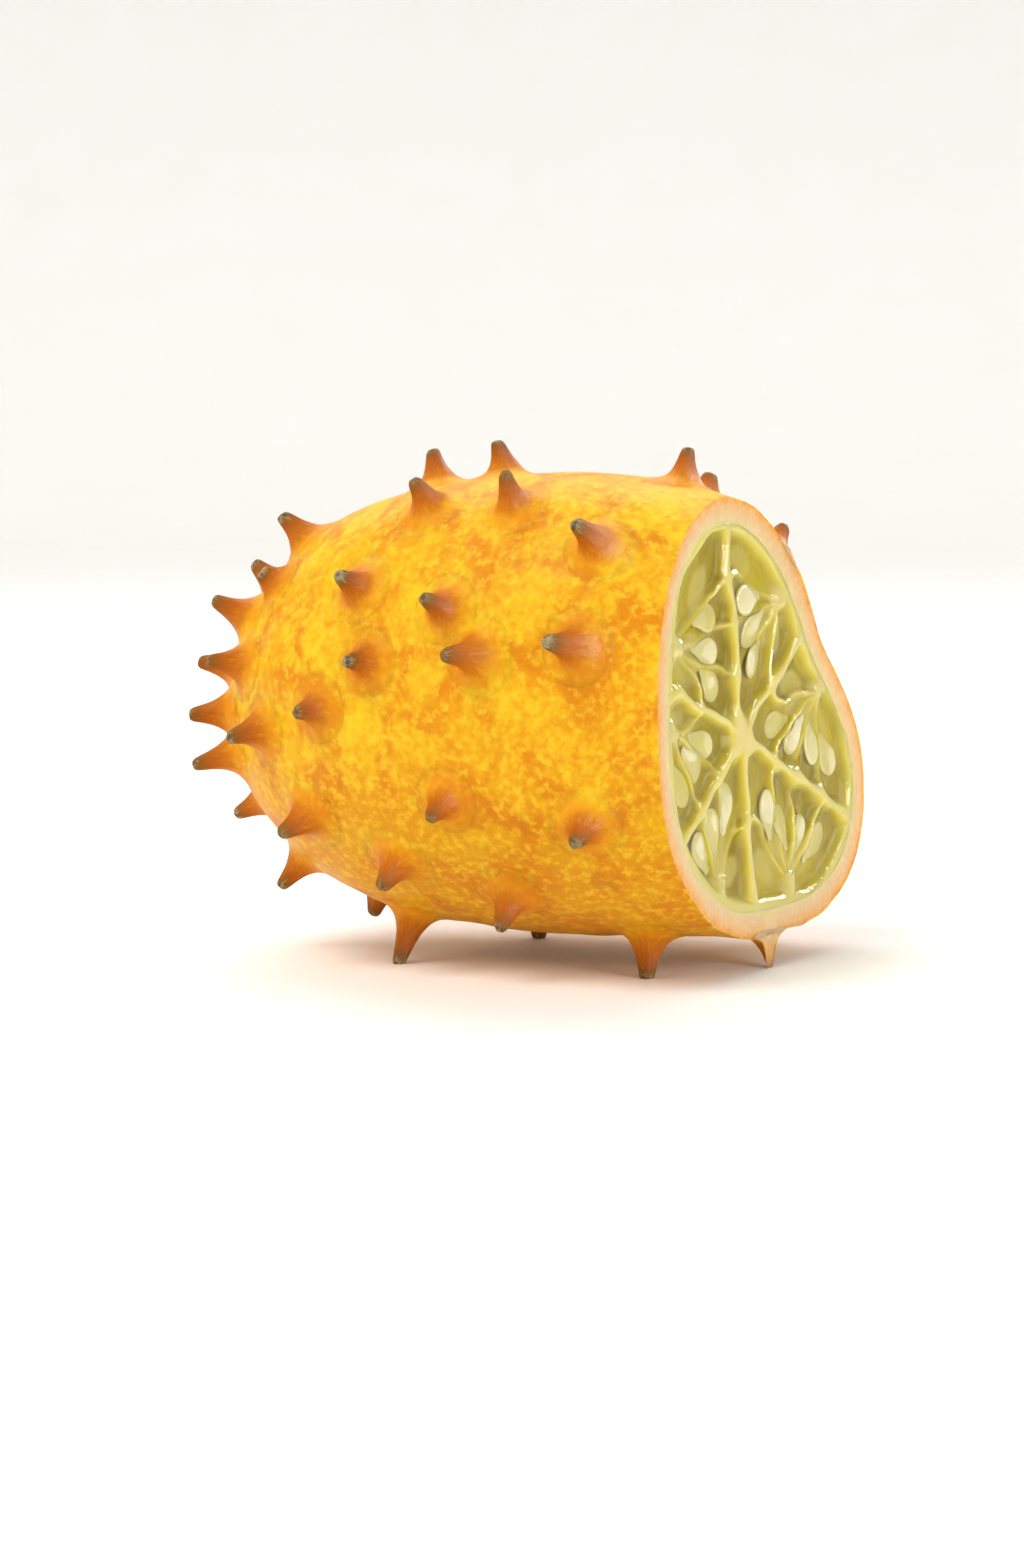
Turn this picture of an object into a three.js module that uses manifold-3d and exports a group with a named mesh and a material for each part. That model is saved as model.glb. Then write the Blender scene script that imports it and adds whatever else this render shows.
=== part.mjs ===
// A horned melon with one end cut off, lying on its horns with the cut face towards +X.
// The rind is a shell with the horns grown out of it. The pulp fills it: gel sacs between thin walls, with
// seeds. Millimetres, +Z up. Shapes are worked out in the melon's own frame: X runs along its length, with
// 0 in the cut and negative towards the round end, and angles go round X from +Y over +Z (90) to -Y (180).
import * as THREE from "three";
import { mergeVertices } from "three/addons/utils/BufferGeometryUtils.js";
import Module from "manifold-3d";

const wasm = await Module();
wasm.setup();

// Driving dimensions of the body
const BLIND_LENGTH = 59.5; // from the thickest place to the round end
const THICKEST = 28; // the thickest place lies this far behind the cut
const BLUNTNESS = 2.4; // 2 is an ellipse, more is blunter
const OPEN_LENGTH = 85; // from the thickest place to where the end that was cut off would have closed
const BOW_UP = 2.3; // the middle of the melon stands this much higher than its cut end
const BOW_SIDE = -4; // and this much to the side
const FLOOR = -37; // what the melon lies on
const TIP = -THICKEST - BLIND_LENGTH;

// The cut section is a circle of this radius with waves round it. The three waves are the three lobes.
const SECTION_RADIUS = 34.8;
const WAVES = [
  { count: 1, height: 0.5, peak: -156 },
  { count: 2, height: 5.8, peak: -39.5 },
  { count: 3, height: 3.0, peak: -18.3 },
  { count: 4, height: 0.9, peak: -31.8 },
  { count: 5, height: 0.7, peak: -21 },
];
const ROUNDING = 0.9; // share of the waves that is gone at the round end

// The layers under the skin
const WALL = 4.0; // skin and pale flesh
const GAP = 0.3; // between the flesh and the pulp

// Horns: a flared root, a stout body and a blunt tip. The profile gives the radius and the share of the
// height.
const HORN_SIDES = 6;
const HORN_ROOT_DEPTH = 1.3;
const HORN_ROOT_RADIUS = 4.4;
const HORN_PROFILE = [
  { radius: 2.8, share: 0.1 },
  { radius: 1.55, share: 0.5 },
  { radius: 0.95, share: 1 },
];

// Horns that are placed by hand: distance behind the cut, angle round the melon, height, and lean in degrees
// towards the round end
const PLACED_HORNS = [
  [71, 116, 6.2, 4],
  [49.5, 104, 5.6, 4],
  [37.4, 104, 5.4, 8],
  [8.6, 101, 5.6, 8],
  [10, 85, 4.6, 0],
  [3.5, 66, 5.0, 0],
  [10.8, 136, 6.6, 20],
  [51, 146, 5.8, -6],
  [33.5, 152, 6.2, 0],
  [11.5, 158, 7.0, 26],
  [27, 162, 6.6, 26],
  [47, 164, 5.8, 0],
  [56.6, 176, 5.6, -6],
  [73, 134, 3.2, 0],
  [80.3, 138, 6.6, 0],
  [76.4, 162, 6.2, 0],
  [84.3, 156, 6.2, 0],
  [83, -178, 6.8, 0],
  [81, -160, 7.4, 0],
  [70.3, -176, 6.2, 0],
];

// Horns that the melon stands on, the first of them halved by the cut: distance behind the cut, and angle
const FEET = [
  [0, -81],
  [12.4, -107],
  [52, -112],
  [46, -62],
];
const FOOT_OVERRUN = 0.5; // a foot is made this much too long and then cut flat at the floor

// The other horns grow wherever there is room. The tries go evenly along and round the melon, by steps that
// are shares of its length and of a full turn and never fall into a pattern.
const HORN_TRIES = 900;
const STEP_ALONG = 0.7548777;
const STEP_AROUND = 0.5698403;
const HORN_SPACING = 15.5; // the least distance between a horn and the next, on the sides
const TIP_SPACING = 11.5; // and at the round end
const TIP_REGION = 24; // how far from the round end the spacing changes
const CLEAR_OF_CUT = 8.5;
const CLEAR_OF_TIP = 0.6;
const BARE_TOP = [50, 98]; // no horns grow between these angles, in the dip between two rows of them
const FLOOR_CLEARANCE = 2; // horns that aren't feet end this far above the floor or higher
const LEAST_HORN = 5.4;
const HORN_RANGE = 1.4; // the tallest is this much higher than the least
const HEIGHT_STEPS = 7; // how often the heights run through their range while the tries go once along

// The face of the pulp. Three lobes meet in the hub. Each has a line down its middle and two roots near the
// flesh. A fan of sacs spreads from each root to the middle line, and the sacs end at these shares of its
// length. Angles are taken at the hub.
const HUB = [-4.8, 0.2];
const LOBES = [
  { middle: 100, roots: [56, 145], ends: [0.86, 0.63, 0.4, 0.17], seeded: [1, 2, 3] },
  { middle: -22, roots: [-54, 9], ends: [0.86, 0.63, 0.4, 0.17], seeded: [0, 1, 2, 3] },
  { middle: -145, roots: [-106, 175], ends: [0.82, 0.52, 0.2], seeded: [0, 1, 2] },
];
const ROOT_REACH = 0.9; // share of the way from the hub to the flesh
const SAC_SIDE = 3; // the sacs end this far to their own side of the middle line, less close to the hub
const SIDE_GROWTH = 0.3;
const SEPTUM_REACH = 0.72; // one more sac of each fan ends by the line between two lobes
const SEPTUM_SIDE = 3.4;
const SAC_ROOT_RADIUS = 0.2;
const SAC_END_RADIUS = 2.6;
const MEMBRANE = 0.55; // half the thickness of the walls between sacs
const SAC_DEPTH = 2.2; // how far the gel lies below the walls' edges
const SAC_CENTRE = 0.64; // share of the way along a sac that its hollow is drawn round
const SAC_SIDES = 12;
const FACE = -0.3; // the pulp ends this far behind the cut

// A sac's hollow, as rings from its floor to past the face: share of the outline, share of the depth
const SAC_RINGS = [
  { share: 0.84, depth: 0.8 },
  { share: 1, depth: 0 },
  { share: 1, depth: -1 },
];

// Seeds: flat drops that lie in their sacs with the pointed end to the fan's root. The rings give the share
// of the length from the middle, and the share of the width.
const SEED = { length: 8.4, width: 4.8, thickness: 2.4, sides: 8 };
const SEED_PLACE = 0.6; // share of the way along the sac
const SEED_RISE = 0.35; // the middle of a seed lies this share of its thickness above the floor
const SEED_RINGS = [
  { place: -0.34, width: 0.5 },
  { place: -0.02, width: 0.96 },
  { place: 0.3, width: 0.84 },
];

// Grids of the shell
const SKIN_GRID = { around: 42, blind: 13, open: 5 };
const PULP_GRID = { around: 30, blind: 8, open: 3 };
const OVERRUN = 4; // the shell is made this much past the cut, and then cut

// Where the melon's own frame stands in the part, whose origin is in the middle of its box, on the floor
const PLACE = [46.75, 0.93, -FLOOR];

const RIND_FINISH = { color: 0xf0a62c, roughness: 0.45 };
const PULP_FINISH = { color: 0xaeb04a, roughness: 0.15 };

// Small and large numbers of the method
const FAR = 200; // past the melon on every side
const SAME_POINT = 1e-4; // points closer than this are one point
const SHORT_STEP = 0.01; // for slopes, in millimetres and in radians
const HALVINGS = 24; // how often a range is halved in a search
const OUTLINE_STEP = 0.1; // a sac's wall is found to this distance

const radians = THREE.MathUtils.degToRad;
const clamp = THREE.MathUtils.clamp;

// Angles evenly round a full turn
function turns(count) {
  return Array.from({ length: count }, (_, i) => (i / count) * 2 * Math.PI);
}

// How thick the melon is at x, against its thickness in the cut
function girth(x) {
  const blind = (s) => (1 - s ** BLUNTNESS) ** (1 / BLUNTNESS);
  const open = (s) => Math.sqrt(1 - s * s);
  const from = x + THICKEST;
  const here = from < 0 ? blind(Math.min(-from / BLIND_LENGTH, 1)) : open(from / OPEN_LENGTH);
  return here / open(THICKEST / OPEN_LENGTH);
}

// How far the skin is from the middle line. The share says how much of the waves is left.
function sectionRadius(angle, share) {
  const waves = WAVES.map((w) => w.height * Math.cos(w.count * (angle - radians(w.peak))));
  return SECTION_RADIUS + share * waves.reduce((sum, wave) => sum + wave, 0);
}

// A point of the skin, and the direction that points straight out of it
function skinPoint(x, angle) {
  const radius = girth(x) * sectionRadius(angle, clamp(1 - (ROUNDING * x) / TIP, 0, 1));
  const bow = 1 - (1 - clamp(-x / THICKEST, 0, 1)) ** 2;
  const [y, z] = [BOW_SIDE * bow, BOW_UP * bow];
  return new THREE.Vector3(x, y + radius * Math.cos(angle), z + radius * Math.sin(angle));
}

function skinNormal(x, angle) {
  if (x <= TIP) return new THREE.Vector3(-1, 0, 0);
  const along = skinPoint(x + SHORT_STEP, angle).sub(skinPoint(x, angle));
  const around = skinPoint(x, angle + SHORT_STEP).sub(skinPoint(x, angle - SHORT_STEP));
  return around.cross(along).normalize();
}

// Turns a closed surface into a solid
function toSolid(geometry) {
  const merged = mergeVertices(geometry, SAME_POINT);
  const surface = new wasm.Mesh({
    numProp: 3,
    vertProperties: merged.attributes.position.array,
    triVerts: new Uint32Array(merged.index.array),
  });
  return new wasm.Manifold(surface);
}

// A solid from rings of points that run one after another, closed with a fan at both ends
function lofted(rings, start, end) {
  const sides = rings[0].length;
  const positions = [start, ...rings.flat(), end];
  const last = positions.length - 1;
  const at = (ring, side) => 1 + ring * sides + (side % sides);
  const faces = [];
  for (let side = 0; side < sides; side++) {
    faces.push([0, at(0, side + 1), at(0, side)]);
    for (let ring = 0; ring + 1 < rings.length; ring++) {
      faces.push([at(ring, side), at(ring, side + 1), at(ring + 1, side + 1)]);
      faces.push([at(ring, side), at(ring + 1, side + 1), at(ring + 1, side)]);
    }
    faces.push([last, at(rings.length - 1, side), at(rings.length - 1, side + 1)]);
  }
  const geometry = new THREE.BufferGeometry();
  geometry.setAttribute("position", new THREE.Float32BufferAttribute(positions.flat(), 3));
  geometry.setIndex(faces.flat());
  return toSolid(geometry);
}

// A solid box between two corners
function boxSolid(low, high) {
  const size = high.map((v, i) => v - low[i]);
  const geometry = new THREE.BoxGeometry(...size);
  geometry.translate(...low.map((v, i) => v + size[i] / 2));
  geometry.deleteAttribute("normal");
  geometry.deleteAttribute("uv");
  return toSolid(geometry);
}

// The melon's body, drawn in by an inset everywhere, from the round end to a little past the cut
function bodySolid(inset, grid) {
  const stations = [];
  for (let i = 1; i <= grid.blind; i++)
    stations.push(TIP + BLIND_LENGTH * (1 - Math.cos(((i / grid.blind) * Math.PI) / 2)));
  for (let i = 1; i <= grid.open; i++)
    stations.push(-THICKEST + ((THICKEST + OVERRUN) * i) / grid.open);
  const pointAt = (x, angle) =>
    skinPoint(x, angle).addScaledVector(skinNormal(x, angle), -inset).toArray();
  const rings = stations.map((x) => turns(grid.around).map((angle) => pointAt(x, angle)));
  return lofted(rings, pointAt(TIP, 0), [stations.at(-1), 0, 0]);
}

// A horn on the skin. It leans in the plane of its normal and the melon's length.
function hornSolid({ x, angle, height, lean }) {
  const axis = skinNormal(x, angle);
  axis.x -= Math.tan(radians(lean));
  axis.normalize();
  const side = new THREE.Vector3().crossVectors(axis, new THREE.Vector3(1, 0, 0)).normalize();
  const across = new THREE.Vector3().crossVectors(axis, side);
  const foot = skinPoint(x, angle);
  const pointAt = (radius, rise, turn) =>
    foot
      .clone()
      .addScaledVector(axis, rise)
      .addScaledVector(side, radius * Math.cos(turn))
      .addScaledVector(across, radius * Math.sin(turn))
      .toArray();
  const ringAt = (radius, rise) => turns(HORN_SIDES).map((turn) => pointAt(radius, rise, turn));
  const body = HORN_PROFILE.map(({ radius, share }) => ringAt(radius, share * height));
  const rings = [ringAt(HORN_ROOT_RADIUS, -HORN_ROOT_DEPTH), ...body];
  return lofted(rings, pointAt(0, -HORN_ROOT_DEPTH, 0), pointAt(0, height, 0));
}

// A horn that reaches the floor
function footHorn(behind, degrees) {
  const x = -behind;
  const angle = radians(degrees);
  const drop = skinPoint(x, angle).z - FLOOR;
  return { x, angle, height: drop / -skinNormal(x, angle).z + FOOT_OVERRUN, lean: 0 };
}

// The horns placed by hand, the feet, and then more wherever the skin still has room for one
function hornPlaces() {
  const horns = [
    ...PLACED_HORNS.map(([behind, degrees, height, lean]) => ({
      x: -behind,
      angle: radians(degrees),
      height,
      lean,
    })),
    ...FEET.map(([behind, degrees]) => footHorn(behind, degrees)),
  ];
  const bare = BARE_TOP.map(radians);
  for (let i = 1; i <= HORN_TRIES; i++) {
    const x = -CLEAR_OF_CUT + (TIP + CLEAR_OF_TIP + CLEAR_OF_CUT) * ((i * STEP_ALONG) % 1);
    const angle = 2 * Math.PI * ((i * STEP_AROUND) % 1);
    if (angle > bare[0] && angle < bare[1]) continue;
    const place = skinPoint(x, angle);
    const room = TIP_SPACING + (HORN_SPACING - TIP_SPACING) * clamp((x - TIP) / TIP_REGION, 0, 1);
    const height = LEAST_HORN + HORN_RANGE * ((i * STEP_ALONG * HEIGHT_STEPS) % 1);
    // Under the melon there is no room for a horn that isn't a foot
    if (place.z + skinNormal(x, angle).z * height < FLOOR + FLOOR_CLEARANCE) continue;
    if (horns.every((h) => skinPoint(h.x, h.angle).distanceTo(place) >= room))
      horns.push({ x, angle, height, lean: 0 });
  }
  return horns;
}

// How far a point of the cut lies inside the flesh's inner edge
function insideFlesh(y, z) {
  return sectionRadius(Math.atan2(z, y), 1) - WALL - GAP - Math.hypot(y, z);
}

// A point on the way from the hub to the flesh, moved sideways. The flesh is found by halving.
function fromHub(angle, share, side = 0) {
  const way = [Math.cos(angle), Math.sin(angle)];
  let [low, high] = [0, 2 * SECTION_RADIUS];
  for (let i = 0; i < HALVINGS; i++) {
    const reach = (low + high) / 2;
    if (insideFlesh(HUB[0] + reach * way[0], HUB[1] + reach * way[1]) > 0) low = reach;
    else high = reach;
  }
  return [HUB[0] + share * low * way[0] - side * way[1], HUB[1] + share * low * way[1] + side * way[0]];
}

// The line between a lobe and its neighbour on one root's side
function septumAngle(lobe, root) {
  const others = LOBES.filter((other) => other !== lobe).flatMap((other) => other.roots);
  const away = others.map((other) => THREE.MathUtils.euclideanModulo(other - root + 180, 360) - 180);
  const nearest = away.reduce((best, turn) => (Math.abs(turn) < Math.abs(best) ? turn : best));
  return radians(root + nearest / 2);
}

// The sacs of the pulp's face, each a line from its fan's root to its round end, in the plane of the cut
function sacLines() {
  const sacs = [];
  for (const lobe of LOBES) {
    const middle = radians(lobe.middle);
    for (const degrees of lobe.roots) {
      const root = fromHub(radians(degrees), ROOT_REACH);
      const side = Math.sign(Math.sin(radians(degrees) - middle));
      for (const [i, share] of lobe.ends.entries()) {
        const end = fromHub(middle, share, side * SAC_SIDE * share ** SIDE_GROWTH);
        sacs.push({ root, end, seeded: lobe.seeded.includes(i) });
      }
      const end = fromHub(septumAngle(lobe, degrees), SEPTUM_REACH, -side * SEPTUM_SIDE);
      sacs.push({ root, end, seeded: false });
    }
  }
  return sacs;
}

// How far a point is from a sac, which grows wider from its root to its end
function fromSac({ root, end }, y, z) {
  const line = [end[0] - root[0], end[1] - root[1]];
  const reach = [y - root[0], z - root[1]];
  const along = clamp((reach[0] * line[0] + reach[1] * line[1]) / (line[0] ** 2 + line[1] ** 2), 0, 1);
  const away = Math.hypot(reach[0] - along * line[0], reach[1] - along * line[1]);
  return away - (SAC_ROOT_RADIUS + (SAC_END_RADIUS - SAC_ROOT_RADIUS) * along);
}

// How far a point lies inside the thin wall round a sac. It is negative in another sac.
function insideSac(sac, sacs, y, z) {
  const here = fromSac(sac, y, z);
  const others = sacs.filter((other) => other !== sac).map((other) => fromSac(other, y, z));
  return Math.min((Math.min(...others) - here) / 2, insideFlesh(y, z)) - MEMBRANE;
}

// The hollow that a sac's gel has sunk into, with a round floor
function sacHollow(sac, sacs) {
  const [y, z] = [0, 1].map((k) => sac.root[k] + (sac.end[k] - sac.root[k]) * SAC_CENTRE);
  const start = Math.atan2(z - sac.root[1], y - sac.root[0]);
  const outline = turns(SAC_SIDES).map((turn) => {
    const way = [Math.cos(start + turn), Math.sin(start + turn)];
    let reach = 0;
    while (insideSac(sac, sacs, y + reach * way[0], z + reach * way[1]) > 0) reach += OUTLINE_STEP;
    return [reach * way[0], reach * way[1]];
  });
  const pointAt = ([sideY, sideZ], share, depth) => [
    FACE - depth * SAC_DEPTH,
    y + share * sideY,
    z + share * sideZ,
  ];
  const rings = SAC_RINGS.map(({ share, depth }) => outline.map((side) => pointAt(side, share, depth)));
  return lofted(rings, pointAt([0, 0], 0, 1), pointAt([0, 0], 0, -1));
}

// A flat drop that lies on the floor of its sac, with its pointed end to the root
function seedSolid({ root, end }) {
  const line = new THREE.Vector3(0, end[0] - root[0], end[1] - root[1]);
  const centre = new THREE.Vector3(0, ...root).addScaledVector(line, SEED_PLACE);
  centre.x = FACE - SAC_DEPTH + SEED.thickness * SEED_RISE;
  line.normalize();
  const out = new THREE.Vector3(1, 0, 0);
  const across = line.clone().cross(out);
  const pointAt = (place, width, turn) =>
    centre
      .clone()
      .addScaledVector(line, place * SEED.length)
      .addScaledVector(across, (width * SEED.width * Math.sin(turn)) / 2)
      .addScaledVector(out, (width * SEED.thickness * Math.cos(turn)) / 2)
      .toArray();
  const rings = SEED_RINGS.map(({ place, width }) =>
    turns(SEED.sides).map((turn) => pointAt(place, width, turn)),
  );
  return lofted(rings, pointAt(-0.5, 0, 0), pointAt(0.5, 0, 0));
}

// Shell with horns, opened by the cut and by the pulp's room, and standing flat on its feet
function rindSolid() {
  let rind = bodySolid(0, SKIN_GRID);
  for (const horn of hornPlaces()) rind = rind.add(hornSolid(horn));
  return rind
    .subtract(bodySolid(WALL, PULP_GRID))
    .subtract(boxSolid([0, -FAR, -FAR], [FAR, FAR, FAR]))
    .subtract(boxSolid([-FAR, -FAR, -FAR], [FAR, FAR, FLOOR]));
}

// The pulp, cut off a little behind the rind, with a hollow for each sac and the seeds on their floors
function pulpSolid() {
  const sacs = sacLines();
  let pulp = bodySolid(WALL + GAP, PULP_GRID).subtract(boxSolid([FACE, -FAR, -FAR], [FAR, FAR, FAR]));
  for (const sac of sacs) pulp = pulp.subtract(sacHollow(sac, sacs));
  for (const sac of sacs.filter((each) => each.seeded)) pulp = pulp.add(seedSolid(sac));
  return pulp;
}

// A named mesh of a solid, which holds three numbers for each point
function meshOf(name, solid, finish) {
  const { vertProperties, triVerts } = solid.getMesh();
  const geometry = new THREE.BufferGeometry();
  geometry.setAttribute("position", new THREE.BufferAttribute(vertProperties, 3));
  geometry.setIndex(new THREE.BufferAttribute(triVerts, 1));
  const mesh = new THREE.Mesh(geometry, new THREE.MeshStandardMaterial({ metalness: 0, ...finish }));
  mesh.name = name;
  return mesh;
}

const melon = new THREE.Group();
melon.add(meshOf("rind", rindSolid(), RIND_FINISH), meshOf("pulp", pulpSolid(), PULP_FINISH));
melon.position.set(...PLACE);

export default melon;
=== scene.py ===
# A horned melon with one end cut off, on a white studio floor.
# Shapes are worked out in millimetres in the melon's own frame, as the frame's solids are: X runs along the
# melon, with 0 in the cut and negative towards the round end, and angles go round X from +Y over +Z to -Y.
import math
from functools import partial

import bpy
import numpy as np
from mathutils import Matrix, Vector


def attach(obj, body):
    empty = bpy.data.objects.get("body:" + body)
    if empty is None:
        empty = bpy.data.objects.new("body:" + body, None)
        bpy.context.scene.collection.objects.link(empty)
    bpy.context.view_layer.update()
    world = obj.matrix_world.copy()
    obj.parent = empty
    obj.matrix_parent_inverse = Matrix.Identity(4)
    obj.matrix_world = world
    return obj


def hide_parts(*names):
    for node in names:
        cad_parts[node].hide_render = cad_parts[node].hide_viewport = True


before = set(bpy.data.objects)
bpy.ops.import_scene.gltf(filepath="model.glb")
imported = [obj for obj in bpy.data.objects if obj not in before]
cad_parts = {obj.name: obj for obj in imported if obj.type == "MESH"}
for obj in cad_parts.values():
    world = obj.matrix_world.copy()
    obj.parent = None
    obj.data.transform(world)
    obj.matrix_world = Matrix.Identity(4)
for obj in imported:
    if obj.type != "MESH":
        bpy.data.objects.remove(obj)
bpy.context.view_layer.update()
MM = 0.001
TURN = 2 * math.pi
SHARP = math.radians(60)
# Where the random draws of each thing start
LATTICE_DRAW = 11
SHADE_DRAW = 5
FILM_DRAW = 7
DEEP_DRAW = 21
SEED_DRAW = 100

# The body
BLIND_LENGTH = 59.5
THICKEST = 28.0
BLUNTNESS = 2.4
OPEN_LENGTH = 85.0
BOW_UP = 2.3
BOW_SIDE = -4.0
FLOOR = -37.0
TIP = -THICKEST - BLIND_LENGTH
SECTION_RADIUS = 34.8
# How often each wave goes round the section, its height, and the angle of its first peak
WAVES = ((1, 0.5, -156), (2, 5.8, -39.5), (3, 3.0, -18.3), (4, 0.9, -31.8), (5, 0.7, -21))
ROUNDING = 0.9
WALL = 4.0
GAP = 0.3
PLACE = np.array([46.75, 0.93, -FLOOR])
# Soft lumps of the skin: size, height, and where in the noise they are read
LUMPS = ((11.0, 0.45, 3.0), (4.0, 0.16, 8.0))

# Horns: distance behind the cut, angle round the melon, height, lean towards the round end
PLACED_HORNS = (
    (71, 116, 6.2, 4), (49.5, 104, 5.6, 4), (37.4, 104, 5.4, 8), (8.6, 101, 5.6, 8),
    (10, 85, 4.6, 0), (3.5, 66, 5.0, 0), (10.8, 136, 6.6, 20), (51, 146, 5.8, -6),
    (33.5, 152, 6.2, 0), (11.5, 158, 7.0, 26), (27, 162, 6.6, 26), (47, 164, 5.8, 0),
    (56.6, 176, 5.6, -6), (73, 134, 3.2, 0), (80.3, 138, 6.6, 0), (76.4, 162, 6.2, 0),
    (84.3, 156, 6.2, 0), (83, -178, 6.8, 0), (81, -160, 7.4, 0), (70.3, -176, 6.2, 0),
)
FEET = ((0, -81), (12.4, -107), (52, -112), (46, -62))
FOOT_OVERRUN = 0.5
FLOOR_CLEARANCE = 2.0
HORN_SPACING = 15.5
TIP_SPACING = 11.5
TIP_REGION = 24.0
HORN_TRIES = 900
STEP_ALONG = 0.7548777
STEP_AROUND = 0.5698403
STEP_HEIGHT = 7
CLEAR_OF_CUT = 8.5
CLEAR_OF_TIP = 0.6
LEAST_HORN = 5.4
HORN_RANGE = 1.4
BARE_TOP = (50, 98)
# A horn's outline from the skin to its tip: radius, and height as a share of the horn's
HORN_OUTLINE = (
    (6.4, -0.012), (5.4, 0.008), (4.5, 0.035), (3.7, 0.085), (3.0, 0.16),
    (2.45, 0.26), (2.0, 0.38), (1.66, 0.52), (1.4, 0.67), (1.2, 0.81),
    (1.02, 0.92), (0.74, 0.985), (0.3, 1.01),
)
HORN_SIDES = 26
HORN_RINGS = 24
# How thick a horn is against that outline, its folds (how many go round, and their depth), where they
# begin, how far up it still follows the skin, and how far its tip bends
HORN_THICKNESS = (0.92, 1.1)
HORN_FOLDS = ((5, 0.06), (3, 0.04))
FOLDS_BEGIN = (0.05, 0.3)
FOOT_BLEND = (0.0, 0.45)
HORN_BEND = 0.5
# How dry the horns' tips and the feet's worn ends are, and how fine lines spread round a horn
TIP_DRYNESS = (0.86, 1.02)
WORN_DRYNESS = 0.9
LINES_ROUND_HORN = 2.0
LINES_SPREAD = 0.2
# How far the orange round a horn's foot reaches
HALO = (2.5, 8.5)
# How far past the cut and short of the round end the skin is followed, and the least slope of a move
PAST_CUT = 3.0
SHORT_OF_TIP = 0.05
LEAST_SLOPE = 0.3
SLIDES = 4

# The cut flesh: its level behind the skin's edge, its grains, that edge, and the groove along the pulp
CUT_LEVEL = 0.1
CUT_GRAINS = ((2.0, 0.06, 5.0),)
CUT_EDGE = (0, 0.15)
GROOVE_DEPTH = 0.14
GROOVE = (0.6, 1.0)
# A horn that the cut went through: how deep its flesh looks, the reach of its foot, where the flesh at its
# foot and its own flesh come level, and how far behind the cut its root lies
CUT_HORN_DEPTH = 2.0
CUT_HORN_FOOT = (1.2, 3.4)
CUT_HORN_LEVEL = (0.1, 0.6)
CUT_HORN_STEP = (0.1, 0.4)
CUT_HORN_EDGE = (0, 0.6)
CUT_HORN_ROOT = 1.0
CUT_HORN_FINER = 3

# Points round the skin, and rows along the round end, the open end, the cut and the inner side
SKIN_COLUMNS = 300
BLIND_ROWS = 84
OPEN_ROWS = 36
CUT_ROWS = 16
INNER_ROWS = 26
# Just short of the round end, where the skin has no direction
NEAR_TIP = 1e-3

# The face of the pulp
HUB = np.array([-4.8, 0.2])
LOBES = (
    {"middle": 100, "roots": (56, 145), "ends": (0.86, 0.63, 0.4, 0.17), "seeded": (1, 2, 3)},
    {"middle": -22, "roots": (-54, 9), "ends": (0.86, 0.63, 0.4, 0.17), "seeded": (0, 1, 2, 3)},
    {"middle": -145, "roots": (-106, 175), "ends": (0.82, 0.52, 0.2), "seeded": (0, 1, 2)},
)
# How finely the way from the hub to the flesh is found, how far along it the roots lie, and how far beside
# their lobe's middle line the sacs' ends and the septa lie
HALVINGS = 24
ROOT_REACH = 0.9
SAC_SIDE = 3.0
SIDE_GROWTH = 0.3
SEPTUM_REACH = 0.72
SEPTUM_SIDE = 3.4
SAC_ROOT_RADIUS = 0.2
SAC_END_RADIUS = 2.6
SAC_DEPTH = 1.7
FACE = -0.3
UNDER_SACS = 0.6
# Noises that bend the sacs' outlines sideways and upwards, and the flesh's
BEND_SIDE = ((7.0, 0.9, 1.3), (2.5, 0.3, 4.1))
BEND_UP = ((7.0, 0.9, 21.7), (2.5, 0.3, 24.9))
FLESH_WAVES = ((5.0, 0.5, 9.0),)
# Half of a wall between fans, the wall along the flesh and how slowly it falls, and how much the walls
# thicken round the hub and the roots
FAN_WALL = 0.3
FLESH_WALL = 0.6
FLESH_FALL = 0.8
HUB_AREA = (0.5, 6.5)
HUB_THICKENS = 0.9
ROOT_AREA = (0.5, 5.0)
ROOT_THICKENS = 0.8
# How high the walls inside a fan rise, as a share of the sacs' depth, and where they and the sacs' sides fall
WALL_HEIGHT = 0.62
WALL_HEIGHTS = ((8.0, 0.6, 17.0),)
LOWEST_WALL = 0.2
SAC_WALL = (0.05, 1.1)
SAC_SIDES = (0.0, 1.2)
# How the face is coloured: the walls, their pale cores, the roots, the flesh's side, and the sacs' dark ends
FAN_TINT = (0.2, 1.6)
SAC_TINT = 0.85
FLESH_TINT = (0.6, 2.8)
FAN_CORE = (0.1, 0.6)
SAC_CORE = (0.04, 0.34)
CORE_PALE = 0.85
ROOT_PALE = 0.8
PALE_ROOT = (0.5, 3.4)
FLESH_PALE = 0.45
PALE_FLESH = (0.2, 1.7)
SAC_SHADES = (0, 0.75)
DARK_ENDS = (0.55, 1.0)
BACK_WALL = 0.7
FIBRES_ROUND = 3
FIBRES_ALONG = 0.06
# Pulp and gel: rings and sectors of their faces, how far the pulp reaches under the flesh, and where the
# innermost ring lies
PULP_GRID = (134, 620)
GEL_GRID = (150, 560)
UNDER_FLESH = 0.15
INNERMOST = 1e-3
BACK_ROWS = 12

# The gel's surface: its height over the walls, how far it sinks in the sacs and over low walls, how soon,
# which walls are high, its ripples, and the least film over the pulp
FILM = 0.04
FILM_SINKS = (0.6, 1.1)
LOW_WALL_SINK = 0.75
CLING = 0.5
HIGH_WALL = (0.55, 0.8)
RIPPLES = ((2.6, 0.12, 13.0),)
RIPPLED = (0.2, 1.2)
LEAST_FILM = 0.05
FILM_TUCK = 0.2
GEL_BACK = (0.99, 0.6, 0.0)

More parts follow.
